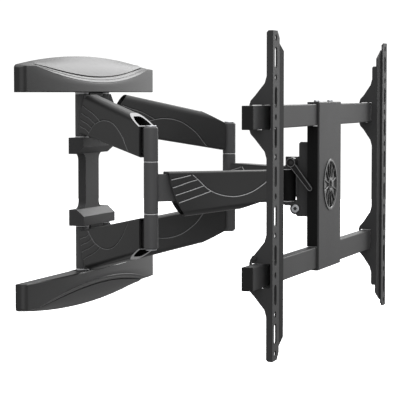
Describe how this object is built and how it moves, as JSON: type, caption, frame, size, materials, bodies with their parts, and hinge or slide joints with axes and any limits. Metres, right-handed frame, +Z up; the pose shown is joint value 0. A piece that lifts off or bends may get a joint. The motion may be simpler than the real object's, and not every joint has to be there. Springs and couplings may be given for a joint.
{
  "type": "full motion tv wall mount",
  "caption": "Cantilever TV wall mount with folding twin arms, a swivel and tilt head, rails and sliding TV brackets, and cable channels in its arms.",
  "frame": {"origin": "centre of the lag bolt pattern, on the wall plane behind the wall frame", "axes": "+X to the right of a person who faces the wall, +Y into the wall, +Z up; the TV side is -Y"},
  "size_m": [0.715, 0.39, 0.418],
  "materials": {
    "black_steel": "satin black powder coat",
    "cover_plastic": "fine satin black",
    "sleeve_plastic": "fine satin black",
    "black_plastic": "satin",
    "emblem_plastic": "semi-gloss black",
    "zinc_steel": "bright zinc plating",
    "black_screw": "black oxide",
    "light_nylon": "natural nylon",
    "black_nylon": "smooth nylon"
  },
  "bodies": {
    "wall_frame": {"wall_plate_top": "black_steel", "wall_plate_bottom": "black_steel", "spine": "black_steel", "cover_top": "cover_plastic", "cover_bottom": "cover_plastic", "shoulder_pins": "zinc_steel", "shoulder_washers": "light_nylon"},
    "left_arm": {"left_upper_bar": "black_steel", "left_lower_bar": "black_steel", "left_upper_sleeve": "sleeve_plastic", "left_lower_sleeve": "sleeve_plastic", "left_arm_bushes": "black_nylon", "left_elbow_pin": "zinc_steel", "left_elbow_washers": "light_nylon", "left_elbow_caps": "zinc_steel"},
    "right_arm": {"right_upper_bar": "black_steel", "right_lower_bar": "black_steel", "right_upper_sleeve": "sleeve_plastic", "right_lower_sleeve": "sleeve_plastic", "right_arm_bushes": "black_nylon", "right_elbow_pin": "zinc_steel", "right_elbow_washers": "light_nylon", "right_elbow_caps": "zinc_steel"},
    "left_forearm": {"left_forearm_bar": "black_steel", "left_forearm_sleeve": "sleeve_plastic", "left_forearm_bushes": "black_nylon"},
    "right_forearm": {"right_forearm_bar": "black_steel", "right_forearm_sleeve": "sleeve_plastic", "right_forearm_bushes": "black_nylon"},
    "head": {"head_yoke": "black_steel", "head_pins": "zinc_steel", "head_washers": "light_nylon"},
    "tv_frame": {"centre_column": "black_steel", "emblem_disc": "emblem_plastic", "tilt_bracket": "black_steel", "tilt_pivot_bolt": "zinc_steel", "tilt_pivot_nut": "zinc_steel", "clamp_bolt": "black_screw", "lever_spacer": "black_nylon", "rail_top": "black_steel", "rail_bottom": "black_steel", "rail_end_caps": "black_plastic", "column_screws": "zinc_steel"},
    "lever": {"tilt_lever": "black_plastic"},
    "left_tv_bracket": {"left_bracket": "black_steel", "left_bracket_lock_screw": "black_screw"},
    "right_tv_bracket": {"right_bracket": "black_steel", "right_bracket_lock_screw": "black_screw"}
  },
  "joints": [
    {"name": "left_shoulder", "type": "hinge", "parent": "wall_frame", "child": "left_arm", "pos_m": [-0.04, -0.013, 0], "axis": [0, 0, 1], "range_deg": [-46.51, 33.49]},
    {"name": "left_elbow", "type": "hinge", "parent": "left_arm", "child": "left_forearm", "pos_m": [-0.171, -0.172, 0], "axis": [0, 0, 1], "range_deg": [-66.98, 93.02]},
    {"name": "left_head_pivot", "type": "hinge", "parent": "left_forearm", "child": "head", "pos_m": [-0.04, -0.331, 0], "axis": [0, 0, 1], "range_deg": [-46.51, 33.49]},
    {"name": "right_shoulder", "type": "hinge", "parent": "wall_frame", "child": "right_arm", "pos_m": [0.04, -0.013, 0], "axis": [0, 0, 1], "range_deg": [-33.49, 46.51]},
    {"name": "right_elbow", "type": "hinge", "parent": "right_arm", "child": "right_forearm", "pos_m": [0.171, -0.172, 0], "axis": [0, 0, 1], "range_deg": [-93.02, 66.98]},
    {"name": "tilt", "type": "hinge", "parent": "head", "child": "tv_frame", "pos_m": [0, -0.345, -0.032], "axis": [1, 0, 0], "range_deg": [-5, 15]},
    {"name": "lever_turn", "type": "hinge", "parent": "tv_frame", "child": "lever", "pos_m": [-0.06, -0.341, 0.033], "axis": [1, 0, 0], "range_deg": [-100, 0]},
    {"name": "left_bracket_slide", "type": "slide", "parent": "tv_frame", "child": "left_tv_bracket", "axis": [1, 0, 0], "range_m": [-0.02, 0.18]},
    {"name": "right_bracket_slide", "type": "slide", "parent": "tv_frame", "child": "right_tv_bracket", "axis": [-1, 0, 0], "range_m": [-0.02, 0.18]}
  ],
  "couplings": [
    {"joint": "left_elbow", "follows": "left_shoulder", "ratio": -2},
    {"joint": "left_head_pivot", "follows": "left_shoulder", "ratio": 1},
    {"joint": "right_shoulder", "follows": "left_shoulder", "ratio": -1},
    {"joint": "right_elbow", "follows": "left_shoulder", "ratio": 2}
  ]
}
